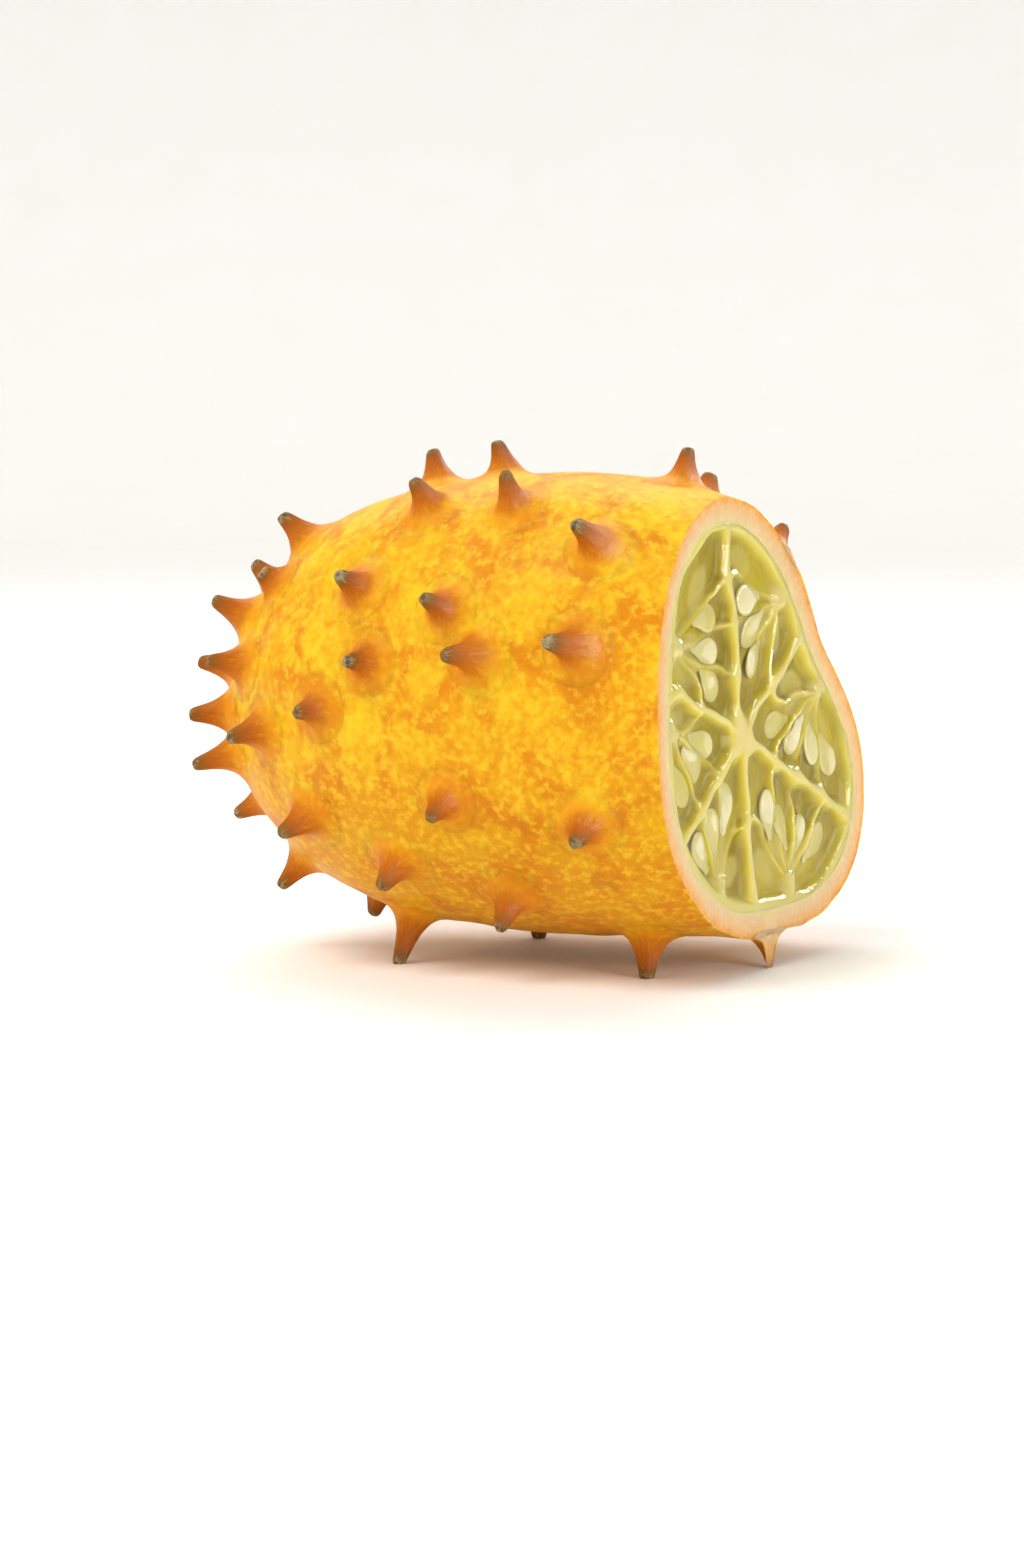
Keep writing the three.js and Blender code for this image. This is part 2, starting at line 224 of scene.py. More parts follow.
# Seeds near the face: their size, their place along a sac, how deep they lie, how near the cut they come,
# and how far they sink, turn, tilt and differ in size
SEED_LENGTH = 8.4
SEED_WIDTH = 4.8
SEED_THICKNESS = 1.1
SEED_PLACE = 0.6
SEED_SLIDE = (-0.04, 0.06)
SEED_LEVEL = 1.2
SEED_FRONT = FACE / 3
SEED_SINKS = 0.3
SEED_TURN = 0.25
SEED_TILT = 0.15
SEED_SIZES = (0.92, 1.06)
SEED_RINGS = 24
SEED_SIDES = 28
# Where along a seed it is widest, where its beak ends and how wide it is there, how boxy its section is, how
# much blunter its thickness is than its width, and where the paler rim closes at the ends
WIDEST = 0.62
BEAK_END = 0.06
BEAK_WIDTH = 0.3
BOXY = 0.8
BLUNTER = 1.25
RIM_ENDS = (0.42, 0.5)
# Deep seeds: how long a sac with a seed must be for one, where it lies along that sac and along a sac with
# no seed, how clearly it shows, how far it is turned, and how soft its edge is
DEEP_ROOM = 2 * SEED_LENGTH
DEEP_BESIDE = (0.25, 0.4)
DEEP_ALONE = (0.6, 0.8)
DEEP_CLEAR = (0.4, 0.9)
DEEP_TURN = 0.3
DEEP_EDGE = (0.7, 1.15)

# Camera and studio
AZIMUTH = math.radians(29)
ELEVATION = math.radians(6)
FRAME_HEIGHT_PX = 1542
FOCUS_PX = 3900
SENSOR = 36.0
CAMERA_PLACE = (0.30495, -0.54361, 0.09471)

LOOK_AT = (0, 0, 0.04)
DAYLIGHT = ("daylight", "SUN", (-0.3, -0.75, 1.2), 1.6, "#FFFDF8")
DAYLIGHT_SPREAD = math.radians(28)
SURROUND = "#FCFAF6"
SURROUND_STRENGTH = 0.45
# The lamps' panels: name, place, power, width and height
PANELS = (
    ("top_panel", (-0.25, 0.35, 0.7), 3.6, 0.7, 0.5),
    ("front_panel", (-0.5, -0.7, 0.35), 1.6, 0.8, 0.5),
    ("face_panel", (0.8, -0.3, 0.35), 1.5, 0.2, 0.2),
)
# Panels that are only seen as reflections, in the wet gel at the rims of the sacs
GLINTS = (
    ("right_glint", (0.22, 0.66, 0.38), 5.0, 0.34, 0.22),
    ("high_glint", (0.62, 0.16, 0.47), 10.0, 0.34, 0.22),
    ("side_glint", (0.75, -0.15, 0.12), 14.0, 0.34, 0.22),
)


def linear(code):
    """An sRGB colour code as a linear colour."""
    parts = [int(code[i : i + 2], 16) / 255 for i in (1, 3, 5)]
    return (*[p / 12.92 if p <= 0.04045 else ((p + 0.055) / 1.055) ** 2.4 for p in parts], 1.0)


def smoothstep(value, low, high):
    """0 at or below low, 1 at or above high, and a smooth change between them."""
    share = np.clip((value - low) / (high - low), 0, 1)
    return share * share * (3 - 2 * share)


def fade(value, low, high):
    """1 at or below low, 0 at or above high, and a smooth change between them."""
    return 1 - smoothstep(value, low, high)


LATTICE_SIDE = 32
LATTICE = np.random.default_rng(LATTICE_DRAW).uniform(-1, 1, (LATTICE_SIDE,) * 3)


def noise_at(points, size, place):
    """Random values on a cubic lattice, blended smoothly between the eight corners round each point."""
    spot = points / size + place
    cell = np.floor(spot).astype(int)
    share = smoothstep(spot - cell, 0, 1)
    total = np.zeros(points.shape[:-1])
    for corner in np.ndindex(2, 2, 2):
        weight = np.where(corner, share, 1 - share).prod(axis=-1)
        total += weight * LATTICE[tuple(np.moveaxis((cell + corner) % LATTICE_SIDE, -1, 0))]
    return total


def uneven(points, noises):
    """A sum of noises, each given by its size, its height, and where in the lattice it is read."""
    return sum(height * noise_at(points, size, place) for size, height, place in noises)


def around(count):
    """Angles of that many points round a full turn."""
    return np.linspace(0, TURN, count, endpoint=False)


def length_of(vectors):
    """The length of each vector: the root of the sum of its squares."""
    return np.linalg.norm(vectors, axis=-1)


def girth(x):
    """How thick the melon is at x, against its thickness in the cut: a blunt oval to the round end, and an
    ellipse from the thickest place to the cut."""
    behind = x + THICKEST
    blind = (1 - np.clip(-behind / BLIND_LENGTH, 0, 1) ** BLUNTNESS) ** (1 / BLUNTNESS)
    opened = np.sqrt(1 - np.clip(behind / OPEN_LENGTH, 0, 1) ** 2)
    return np.where(behind < 0, blind, opened) / math.sqrt(1 - (THICKEST / OPEN_LENGTH) ** 2)


def section_radius(angle, share=1.0):
    """A circle with waves round it, which give the section its three lobes."""
    waves = sum(height * np.cos(count * (angle - math.radians(peak))) for count, height, peak in WAVES)
    return SECTION_RADIUS + share * waves


def bow(x):
    """How far the melon's middle line is from the cut's: 0 in the cut, 1 behind the thickest place."""
    return 1 - (1 - np.clip(-x / THICKEST, 0, 1)) ** 2


def skin_point(x, angle):
    """The smooth body: its section at x, scaled by the girth there and moved with the bow."""
    x, angle = np.broadcast_arrays(np.asarray(x, float), np.asarray(angle, float))
    radius = girth(x) * section_radius(angle, np.clip(1 - ROUNDING * x / TIP, 0, 1))
    y = BOW_SIDE * bow(x) + radius * np.cos(angle)
    z = BOW_UP * bow(x) + radius * np.sin(angle)
    return np.stack([x, y, z], -1)


def skin_normal(x, angle):
    """Square to two short steps on the skin, one round the melon and one along it."""
    step = 0.01
    along = skin_point(x + step, angle) - skin_point(x, angle)
    turned = skin_point(x, angle + step) - skin_point(x, angle - step)
    normal = np.cross(turned, along)
    return normal / np.maximum(length_of(normal), 1e-12)[..., None]


def horn_places():
    """The listed horns, the feet, and one wherever there is still room, as in the frame's solids."""
    horns = [
        {"x": -float(behind), "angle": math.radians(degrees), "height": height, "lean": lean}
        for behind, degrees, height, lean in PLACED_HORNS
    ]
    for behind, degrees in FEET:
        x, angle = -float(behind), math.radians(degrees)
        drop = skin_point(x, angle)[2] - FLOOR
        height = drop / -skin_normal(x, angle)[2] + FOOT_OVERRUN
        horns.append({"x": x, "angle": angle, "height": height, "lean": 0})
    bare = [math.radians(degrees) for degrees in BARE_TOP]
    for i in range(1, HORN_TRIES + 1):
        x = -CLEAR_OF_CUT + (TIP + CLEAR_OF_TIP + CLEAR_OF_CUT) * ((i * STEP_ALONG) % 1)
        angle = TURN * ((i * STEP_AROUND) % 1)
        if bare[0] < angle < bare[1]:
            continue
        place = skin_point(x, angle)
        room = TIP_SPACING + (HORN_SPACING - TIP_SPACING) * float(np.clip((x - TIP) / TIP_REGION, 0, 1))
        height = LEAST_HORN + HORN_RANGE * ((i * STEP_ALONG * STEP_HEIGHT) % 1)
        if place[2] + skin_normal(x, angle)[2] * height < FLOOR + FLOOR_CLEARANCE:
            continue
        if all(length_of(skin_point(h["x"], h["angle"]) - place) >= room for h in horns):
            horns.append({"x": x, "angle": angle, "height": height, "lean": 0})
    return horns


class Grids:
    """Collects grids of points, with a few values at each point, and makes one mesh of them."""

    def __init__(self, *values):
        """Starts empty, with the values' names."""
        self.points, self.quads, self.triangles = [], [], []
        self.values = {name: [] for name in values}
        self.count = 0

    def add(self, points, slot=0, flip=False, poles=(0, -1), **values):
        """A grid whose last column joins its first. The rows named as poles are one point each. A slot is one
        number, or one for each point, of which a face takes its corners' lowest."""
        rows, columns = points.shape[:2]
        index = np.arange(rows * columns).reshape(rows, columns)
        for row in poles:
            index[row] = index[row, 0]
        right = np.roll(index, -1, axis=1)
        faces = np.stack([index[:-1], right[:-1], right[1:], index[1:]], -1).reshape(-1, 4)
        slots = np.broadcast_to(slot, (rows, columns)).reshape(-1)[faces].min(axis=1)
        used, faces = np.unique(faces, return_inverse=True)
        faces = self.count + faces.reshape(-1, 4)[:, ::-1 if flip else 1]
        at_start, at_end = faces[:, 0] == faces[:, 1], faces[:, 2] == faces[:, 3]
        if flip:
            at_start, at_end = at_end, at_start
        whole = ~(at_start | at_end)
        keep_start, keep_end = ([0, 1, 2], [0, 2, 3]) if flip else ([0, 2, 3], [0, 1, 2])
        self.quads.append((faces[whole], slots[whole]))
        self.triangles.append((faces[at_start][:, keep_start], slots[at_start]))
        self.triangles.append((faces[at_end][:, keep_end], slots[at_end]))
        self.points.append(points.reshape(-1, 3)[used])
        for name, store in self.values.items():
            store.append(np.broadcast_to(values.get(name, 0.0), (rows, columns)).reshape(-1)[used])
        self.count += len(used)

    def build(self, name, *materials):
        """The piece, in metres in the part's frame. Its edges are sharp where it was cut or lies flat."""
        points = (np.concatenate(self.points) + PLACE) * MM
        quads = np.concatenate([faces for faces, _ in self.quads])
        triangles = np.concatenate([faces for faces, _ in self.triangles])
        slots = np.concatenate([slots for _, slots in self.quads + self.triangles])
        mesh = bpy.data.meshes.new(name)
        mesh.vertices.add(len(points))
        mesh.vertices.foreach_set("co", points.ravel())
        mesh.loops.add(quads.size + triangles.size)
        mesh.loops.foreach_set("vertex_index", np.concatenate([quads.ravel(), triangles.ravel()]))
        mesh.polygons.add(len(slots))
        starts = [np.arange(0, quads.size, 4), quads.size + np.arange(0, triangles.size, 3)]
        mesh.polygons.foreach_set("loop_start", np.concatenate(starts))
        mesh.polygons.foreach_set("material_index", slots)
        for value, store in self.values.items():
            layer = mesh.attributes.new(value, "FLOAT", "POINT")
            layer.data.foreach_set("value", np.concatenate(store).astype(np.float32))
        mesh.update(calc_edges=True)
        mesh.validate()
        for material in materials:
            mesh.materials.append(material)
        mesh.shade_smooth()
        mesh.set_sharp_from_angle(angle=SHARP)
        piece = bpy.data.objects.new(name, mesh)
        bpy.context.scene.collection.objects.link(piece)
        return piece


def add_node(tree, kind, inputs=(), stops=(), take=None, **settings):
    """Adds a node with its settings. Its inputs are given by name, or in order, as values, colour codes or
    the outputs that they are linked to. Back comes its first output, or the one that take names."""
    node = tree.nodes.new("ShaderNode" + kind)
    for name, value in settings.items():
        setattr(node, name, value)
    sockets = [socket for socket in node.inputs if socket.enabled]
    if isinstance(inputs, dict):
        named = {socket.name: socket for socket in reversed(sockets)}
        pairs = [(named[name], value) for name, value in inputs.items()]
    else:
        pairs = zip(sockets, inputs)
    for socket, value in pairs:
        if isinstance(value, bpy.types.NodeSocket):
            tree.links.new(value, socket)
        else:
            socket.default_value = linear(value) if isinstance(value, str) else value
    while stops and len(node.color_ramp.elements) < len(stops):
        node.color_ramp.elements.new(0.5)
    for element, (place, code) in zip(node.color_ramp.elements if stops else (), stops):
        element.position, element.color = place, linear(code)
    outputs = [socket for socket in node.outputs if socket.enabled and take in (None, socket.name)]
    return outputs[0] if outputs else None


def per_metre(size):
    """A pattern's scale: how many of its grains, of that size in millimetres, go into a metre."""
    return 1 / (size * MM)


def new_material(name):
    """An empty material and the function that adds a node to it."""
    material = bpy.data.materials.new(name)
    material.use_nodes = True
    material.node_tree.nodes.clear()
    return material, partial(add_node, material.node_tree)


SOFT = {"interpolation_type": "SMOOTHSTEP"}
COLOUR = {"data_type": "RGBA"}


def skin_material():
    """Ripe melon skin: thin and waxy over a yellow flesh. It gives a low, soft gloss, fine yellow grains
    about 1.4 mm wide, orange veins that wander between the horns in cells of 13 mm, and rusty horns whose
    dry tips are grey, with fine lines along them."""
    material, add = new_material("ripe_skin")
    position = add("TexCoord", take="Object")
    drift = add("TexNoise", {"Vector": position, "Scale": per_metre(13.33), "Detail": 3.0}, take="Color")
    bent = add("VectorMath", [drift, (16 * MM,) * 3, position], operation="MULTIPLY_ADD")
    cells = add("TexVoronoi", {"Vector": bent, "Scale": per_metre(12.82)}, feature="DISTANCE_TO_EDGE")
    cloud = add("TexNoise", {"Vector": position, "Scale": per_metre(16.13), "Detail": 4.0, "Roughness": 0.6})
    patch = add("TexNoise", {"Vector": bent, "Scale": per_metre(8.333), "Detail": 3.0})
    grain = add("TexNoise", {"Vector": position, "Scale": per_metre(1.389), "Detail": 3.0, "Roughness": 0.6})
    pores = add("TexVoronoi", {"Vector": position, "Scale": per_metre(1.111)})
    side = add("SeparateXYZ", [add("NewGeometry", take="Normal")], take="Z")
    near, height, lines_x, lines_y = (
        add("Attribute", take="Fac", attribute_name=name)
        for name in ("near_horn", "horn", "line_x", "line_y")
    )

    clouded = add("MapRange", [cloud, 0.38, 0.64], **SOFT)
    # Painted shade: the skin turns darker orange where it faces down, away from the light
    low = add("MapRange", [side, 0.2, -0.8, 0.0, 0.55], **SOFT)
    line = add("MapRange", [cells, 0.02, 0.2, 1.0, 0.0], **SOFT)
    broken = add("MapRange", [patch, 0.42, 0.6, 0.12, 0.85], **SOFT)
    vein = add("Math", [line, broken], operation="MULTIPLY")
    spots = add("MapRange", [patch, 0.56, 0.7, 0.0, 0.5], **SOFT)
    bright = add("MapRange", [grain, 0.46, 0.7, 0.0, 0.65], **SOFT)
    dark = add("MapRange", [grain, 0.34, 0.5, 0.35, 0.0], **SOFT)
    under = add("Math", [add("MapRange", [side, 0.1, -0.5, 0.0, 0.6], **SOFT), spots], operation="MULTIPLY")
    ragged = add("Math", [near, add("MapRange", [patch, 0.3, 0.7, -0.3, 0.3])], operation="ADD")
    halo = add("MapRange", [ragged, 0.35, 1.0, 0.0, 0.6], **SOFT)
    colour = "#EBBB1A"
    for share, code in (
        (clouded, "#E2A012"),
        # painted shade on the underside
        (low, "#D2860C"),
        (vein, "#D67E0A"),
        (spots, "#DA860A"),
        (bright, "#F4CB2E"),
        (dark, "#CE840C"),
        (under, "#A85410"),
        (halo, "#DC8410"),
    ):
        colour = add("Mix", [share, colour, code], **COLOUR)

    along = add("CombineXYZ", [lines_x, lines_y, height])
    lines = add("TexNoise", {"Vector": along, "Scale": 3.2, "Detail": 4.0, "Roughness": 0.6})
    uneven_tip = add("MapRange", [lines, 0.3, 0.7, -0.2, 0.2])
    raised = add("Math", [height, uneven_tip], operation="ADD")
    horn = add(
        "ValToRGB",
        [raised],
        stops=(
            (0.0, "#DA8E10"), (0.2, "#CB780A"), (0.42, "#BB6208"), (0.66, "#A65A0E"),
            (0.82, "#86541C"), (0.92, "#857044"), (1.0, "#A89E7C"),
        ),
    )
    pale_lines = add("MapRange", [lines, 0.52, 0.7, 0.0, 0.4], **SOFT)
    horn = add("Mix", [pale_lines, horn, "#D9922A"], **COLOUR)
    scars = add("MapRange", [pores, 0.25, 0.5, 0.8, 0.0], **SOFT)
    at_tip = add("MapRange", [raised, 0.8, 0.95], **SOFT)
    scarred = add("Math", [scars, at_tip], operation="MULTIPLY")
    horn = add("Mix", [scarred, horn, "#4A3820"], **COLOUR)
    on_horn = add("MapRange", [height, 0.04, 0.22], **SOFT)
    colour = add("Mix", [on_horn, colour, horn], **COLOUR)

    smooth = add("MapRange", [grain, 0.3, 0.7, 0.36, 0.48])
    dry = add("MapRange", [height, 0.1, 1.0, 0.0, 0.25])
    relief = {}
    for pattern, rise in ((grain, 0.16), (pores, 0.08), (vein, -0.12), (lines, 0.2)):
        relief = {"Normal": add("Bump", {"Height": pattern, "Distance": rise * MM, **relief})}
    shader = add(
        "BsdfPrincipled",
        {
            "Base Color": colour,
            "Roughness": add("Math", [smooth, dry], operation="ADD"),
            "Subsurface Weight": 0.12,
            "Subsurface Radius": (1.0, 0.6, 0.15),
            "Subsurface Scale": 1.2 * MM,
            "Specular IOR Level": 0.11,
            **relief,
        },
    )
    add("OutputMaterial", {"Surface": shader})
    return material


def flesh_material():
    """Cut melon flesh: soft, pale and damp. It is orange just under the skin, then yellow and cream, with
    juicy grains three quarters of a millimetre wide that catch the light."""
    material, add = new_material("damp_flesh")
    position = add("TexCoord", take="Object")
    grain = add("TexNoise", {"Vector": position, "Scale": per_metre(0.7692), "Detail": 3.0, "Roughness": 0.6})
    drift = add("TexNoise", {"Vector": position, "Scale": per_metre(2.632), "Detail": 3.0})
    depth = add("Attribute", take="Fac", attribute_name="depth")
    uneven = add("MapRange", [drift, 0.3, 0.7, -0.45, 0.45])
    deep = add("Math", [depth, uneven], operation="ADD")
    colour = add(
        "ValToRGB",
        [add("MapRange", [deep, 0.0, WALL])],
        stops=((0.0, "#E48A0A"), (0.14, "#E99C1C"), (0.3, "#E8AE56"), (0.62, "#E6BA7C"), (1.0, "#E4CC7C")),
    )
    pale = add("MapRange", [grain, 0.5, 0.68, 0.0, 0.4], **SOFT)
    colour = add("Mix", [pale, colour, "#F1D09C"], **COLOUR)
    height = add("Attribute", take="Fac", attribute_name="horn")
    in_horn = add("MapRange", [height, 0.05, 0.5, 0.0, 0.85], **SOFT)
    colour = add("Mix", [in_horn, colour, "#DE9A30"], **COLOUR)
    in_tip = add("MapRange", [height, 0.45, 0.92, 0.0, 0.9], **SOFT)
    colour = add("Mix", [in_tip, colour, "#7C641C"], **COLOUR)
    normal = add("Bump", {"Height": grain, "Distance": 0.22 * MM})
    normal = add("Bump", {"Height": drift, "Distance": 0.2 * MM, "Normal": normal})
    shader = add(
        "BsdfPrincipled",
        {
            "Base Color": colour,
            "Roughness": add("MapRange", [grain, 0.3, 0.7, 0.32, 0.5]),
            "Normal": normal,
            "Subsurface Weight": 0.4,
            "Subsurface Radius": (1.0, 0.7, 0.35),
            "Subsurface Scale": 2.5 * MM,
            "Specular IOR Level": 0.3,
            "Coat Weight": 0.25,
            "Coat Roughness": 0.1,
        },
    )
    add("OutputMaterial", {"Surface": shader})
    return material


def pulp_material():
    """Melon pulp: soft cells full of green juice in thin pale walls. Deep juice is olive, thin juice yellow,
    in clouds of 4 mm, and fine fibres run out of each fan's root. Light goes far in, so shadows are soft."""
    material, add = new_material("pulp")
    position = add("TexCoord", take="Object")
    edge, wall, pale, shade, glow, dark, turn, reach = (
        add("Attribute", take="Fac", attribute_name=name)
        for name in ("edge", "wall", "pale", "shade", "glow", "dark", "fan_turn", "fan_reach")
    )
    fibres = add("TexNoise", {"Vector": add("CombineXYZ", [turn, reach]), "Scale": 5.0, "Detail": 3.0})
    cloud = add("TexNoise", {"Vector": position, "Scale": per_metre(3.846), "Detail": 4.0, "Roughness": 0.6})
    fine = add("TexNoise", {"Vector": position, "Scale": per_metre(1.111)})
    inside = add("Math", [edge, add("MapRange", [cloud, 0.3, 0.7, -0.5, 0.5])], operation="ADD")
    colour = add(
        "ValToRGB",
        [add("MapRange", [inside, 0.0, 2.6])],
        stops=((0.0, "#DCCA48"), (0.18, "#CDBA32"), (0.42, "#B8A51E"), (0.72, "#A59212"), (1.0, "#B8A51E")),
    )
    for share, code in (
        (shade, "#D4C236"),
        (add("MapRange", [fibres, 0.54, 0.72, 0.0, 0.5], **SOFT), "#DAC94C"),
        (add("Math", [dark, 0.55], operation="MULTIPLY"), "#937F0E"),
        (add("Math", [glow, 0.8], operation="MULTIPLY"), "#DACE84"),
        (wall, "#E7D76C"),
        (pale, "#F2E2A4"),
    ):
        colour = add("Mix", [share, colour, code], **COLOUR)
    normal = add("Bump", {"Height": fibres, "Distance": 0.12 * MM})
    normal = add("Bump", {"Height": fine, "Distance": 0.06 * MM, "Normal": normal})
    shader = add(
        "BsdfPrincipled",
        {
            "Base Color": colour,
            "Roughness": add("MapRange", [fine, 0.3, 0.7, 0.28, 0.42]),
            "Normal": normal,
            "Subsurface Weight": 0.8,
            "Subsurface Radius": (1.0, 0.95, 0.3),
            "Subsurface Scale": 2.6 * MM,
            "Specular IOR Level": 0.08,
        },
    )
    add("OutputMaterial", {"Surface": shader})
    return material


def seed_material():
    """Fresh melon seeds: smooth, soft and cream, a little see-through, with a paler rim and wet all over. The
    deeper a seed lies in its gel, the greener it looks."""
    material, add = new_material("fresh_seed")
    position = add("TexCoord", take="Object")
    rim = add("Attribute", take="Fac", attribute_name="rim")
    cloud = add("TexNoise", {"Vector": position, "Scale": per_metre(1.923), "Detail": 3.0})
    colour = add("Mix", [add("MapRange", [cloud, 0.35, 0.7]), "#EAE0B6", "#DED49C"], **COLOUR)
    at_rim = add("MapRange", [rim, 0.7, 0.95, 0.0, 0.75], **SOFT)
    colour = add("Mix", [at_rim, colour, "#F3ECCC"], **COLOUR)
    sunk = add("Attribute", take="Fac", attribute_name="sunk")
    colour = add("Mix", [add("MapRange", [sunk, 0.05, 0.3, 0.0, 0.5]), colour, "#D6CA72"], **COLOUR)
    shader = add(
        "BsdfPrincipled",
        {
            "Base Color": colour,
            "Roughness": add("MapRange", [cloud, 0.3, 0.7, 0.25, 0.36]),
            "Normal": add("Bump", {"Height": cloud, "Distance": 0.05 * MM}),
            "Subsurface Weight": 0.4,
            "Subsurface Radius": (1.0, 0.9, 0.5),
            "Subsurface Scale": 1.4 * MM,
            "Specular IOR Level": 0.1,
            "Coat Weight": 0.3,
            "Coat Roughness": 0.06,
        },
    )
    add("OutputMaterial", {"Surface": shader})
    return material


def gel_material():
    """The clear jelly over the seeds: thick juice, as wet as water. It lets the pulp show through, is greener
    where it is deep, and has sharp reflections broken up by ripples of 2 mm."""
    material, add = new_material("clear_gel")
    position = add("TexCoord", take="Object")
    deep = add("Attribute", take="Fac", attribute_name="gel_depth")
    tint = add("Mix", [add("MapRange", [deep, 0.0, SAC_DEPTH]), "#FFFFF8", "#FCF9D6"], **COLOUR)
    ripple = add("TexNoise", {"Vector": position, "Scale": per_metre(2.381), "Distortion": 0.8})
    normal = add("Bump", {"Height": ripple, "Distance": 0.2 * MM})
    clear = add("BsdfTransparent", {"Color": tint})
    shine = add("BsdfGlossy", {"Roughness": 0.03, "Normal": normal})
    facing = add("Fresnel", {"IOR": 1.19, "Normal": normal})
    add("OutputMaterial", {"Surface": add("MixShader", [facing, clear, shine])})
    return material


def skin_rows(horns):
    """The outer skin from the round end to the cut: the body's points, moved out by the lumps. The rows stand
    close together at the round end. Next to each point comes how near it is to a horn."""
    share = np.linspace(0, 1, BLIND_ROWS, endpoint=False)
    blind = TIP + BLIND_LENGTH * (1 - np.cos(share * math.pi / 2))
    blind[0] = TIP + NEAR_TIP
    rows = np.concatenate([blind, np.linspace(-THICKEST, 0, OPEN_ROWS)])
    x, angle = np.meshgrid(rows, around(SKIN_COLUMNS), indexing="ij")
    base = skin_point(x, angle)
    points = base + skin_normal(x, angle) * uneven(base, LUMPS)[..., None]
    points[-1, :, 0] = 0
    near = np.zeros(x.shape)
    for horn in horns:
        away = length_of(base - skin_point(horn["x"], horn["angle"]))
        near = np.maximum(near, fade(away, *HALO))
    return points, near


def cut_rows(rim, horns):
    """The cut flesh, from the skin's edge straight in to the pulp, a little behind the cut, with low grains
    and a groove along the pulp. A horn that the cut went through shows more flesh at its foot, level with
    it."""
    angle = around(SKIN_COLUMNS)
    inner = skin_point(0.0, angle) - WALL * skin_normal(0.0, angle)
    inner[:, 0] = 0
    share = np.linspace(0, 1, CUT_ROWS)[:, None]
    points = rim * (1 - share[..., None]) + inner * share[..., None]
    level = CUT_LEVEL + uneven(points, CUT_GRAINS)
    points[..., 0] = -smoothstep(share, *CUT_EDGE) * level - GROOVE_DEPTH * smoothstep(share, *GROOVE)
    depth = share * WALL
    for horn in horns:
        away = length_of(rim - skin_point(horn["x"], horn["angle"]))
        close = fade(away, *CUT_HORN_FOOT)
        depth = depth + close * (1 - share) * CUT_HORN_DEPTH
        points[..., 0] *= 1 - close * fade(share, *CUT_HORN_LEVEL)
    return points, depth


def inner_rows(edge):
    """The wall's inner side, at an even depth behind the skin, from the cut to the round end. The rows stand
    close together there, as the sine of a quarter turn."""
    run = np.sin(np.linspace(1, 0, INNER_ROWS) * math.pi / 2)
    x, angle = np.meshgrid(TIP * (1 - run), around(SKIN_COLUMNS), indexing="ij")
    x[-1] = TIP + NEAR_TIP
    points = skin_point(x, angle) - WALL * skin_normal(x, angle)
    points[..., 0] = np.minimum(points[..., 0], edge[:, 0])
    return points[1:]


def onto_skin(points, normal):
    """Moves points along a horn's own direction until they lie on the lumpy skin: by their distance from the
    smooth skin over that direction's slope, again and again, and then by the lump."""
    moved = points.copy()
    for _ in range(SLIDES):
        x = np.clip(moved[..., 0], TIP + SHORT_OF_TIP, PAST_CUT)
        angle = np.arctan2(moved[..., 2] - BOW_UP * bow(x), moved[..., 1] - BOW_SIDE * bow(x))
        out = skin_normal(x, angle)
        short = ((skin_point(x, angle) - moved) * out).sum(axis=-1)
        moved += (short / np.maximum((out * normal).sum(axis=-1), LEAST_SLOPE))[..., None] * normal
    return moved + normal * uneven(moved, LUMPS)[..., None]


def add_horn(grids, horn, number):
    """One horn: rings round its own line, which follow the skin at the foot and stand square to the line
    further up. Feet end flat on the floor, and a horn in the cut ends at the cut."""
    rng = np.random.default_rng(number)
    middle = skin_point(horn["x"], horn["angle"])
    normal = skin_normal(horn["x"], horn["angle"])
    axis = normal - np.array([math.tan(math.radians(horn["lean"])), 0, 0])
    axis /= length_of(axis)
    side = np.cross(axis, [1, 0, 0]) + np.array([0, 1e-6, 0])
    side /= length_of(side)
    across = np.cross(axis, side)

    outline = np.array(HORN_OUTLINE)
    finer = CUT_HORN_FINER if horn["x"] > -HORN_OUTLINE[0][0] / 2 else 1
    steps = np.linspace(0, len(outline) - 1, HORN_RINGS * finer)
    radius = np.interp(steps, range(len(outline)), outline[:, 0]) * rng.uniform(*HORN_THICKNESS)
    share = np.interp(steps, range(len(outline)), outline[:, 1])
    turn = around(HORN_SIDES * finer)
    folds = sum(deep * np.sin(count * turn + rng.uniform(0, TURN)) for count, deep in HORN_FOLDS)
    flat = radius[:, None] * (1 + folds * smoothstep(share, *FOLDS_BEGIN)[:, None])
    circle = np.cos(turn)[:, None] * side + np.sin(turn)[:, None] * across
    rings = middle + flat[..., None] * circle
    foot = smoothstep(share, *FOOT_BLEND)[:, None, None]
    up = np.maximum(share, 0)[:, None]
    bend = rng.uniform(-HORN_BEND, HORN_BEND, 2)
    curve = up[..., None] ** 2 * (bend[0] * side + bend[1] * across)
    points = onto_skin(rings, normal) * (1 - foot) + rings * foot
    points += axis * (share * horn["height"])[:, None, None] + curve
    points[0] = middle - normal
    points[-1] = points[-1].mean(axis=0)

    past_cut = points[..., 0].clip(0)
    on_floor = points[..., 2] < FLOOR
    behind = smoothstep(share, *CUT_HORN_STEP)[:, None] * smoothstep(past_cut, *CUT_HORN_EDGE)
    points[..., 0] -= past_cut + CUT_LEVEL * behind
    points[0, :, 0] = np.minimum(points[0, :, 0], -CUT_HORN_ROOT)
    points[..., 2] = np.maximum(points[..., 2], FLOOR)
    spread = LINES_ROUND_HORN * up**LINES_SPREAD
    grids.add(
        points,
        slot=np.where(past_cut > 0, 1, 0),
        horn=np.where(on_floor, WORN_DRYNESS, up * rng.uniform(*TIP_DRYNESS)),
        near_horn=fade(flat, *HALO),
        line_x=np.cos(turn) * spread + number,
        line_y=np.sin(turn) * spread,
        depth=past_cut.clip(0, CUT_HORN_DEPTH),
    )


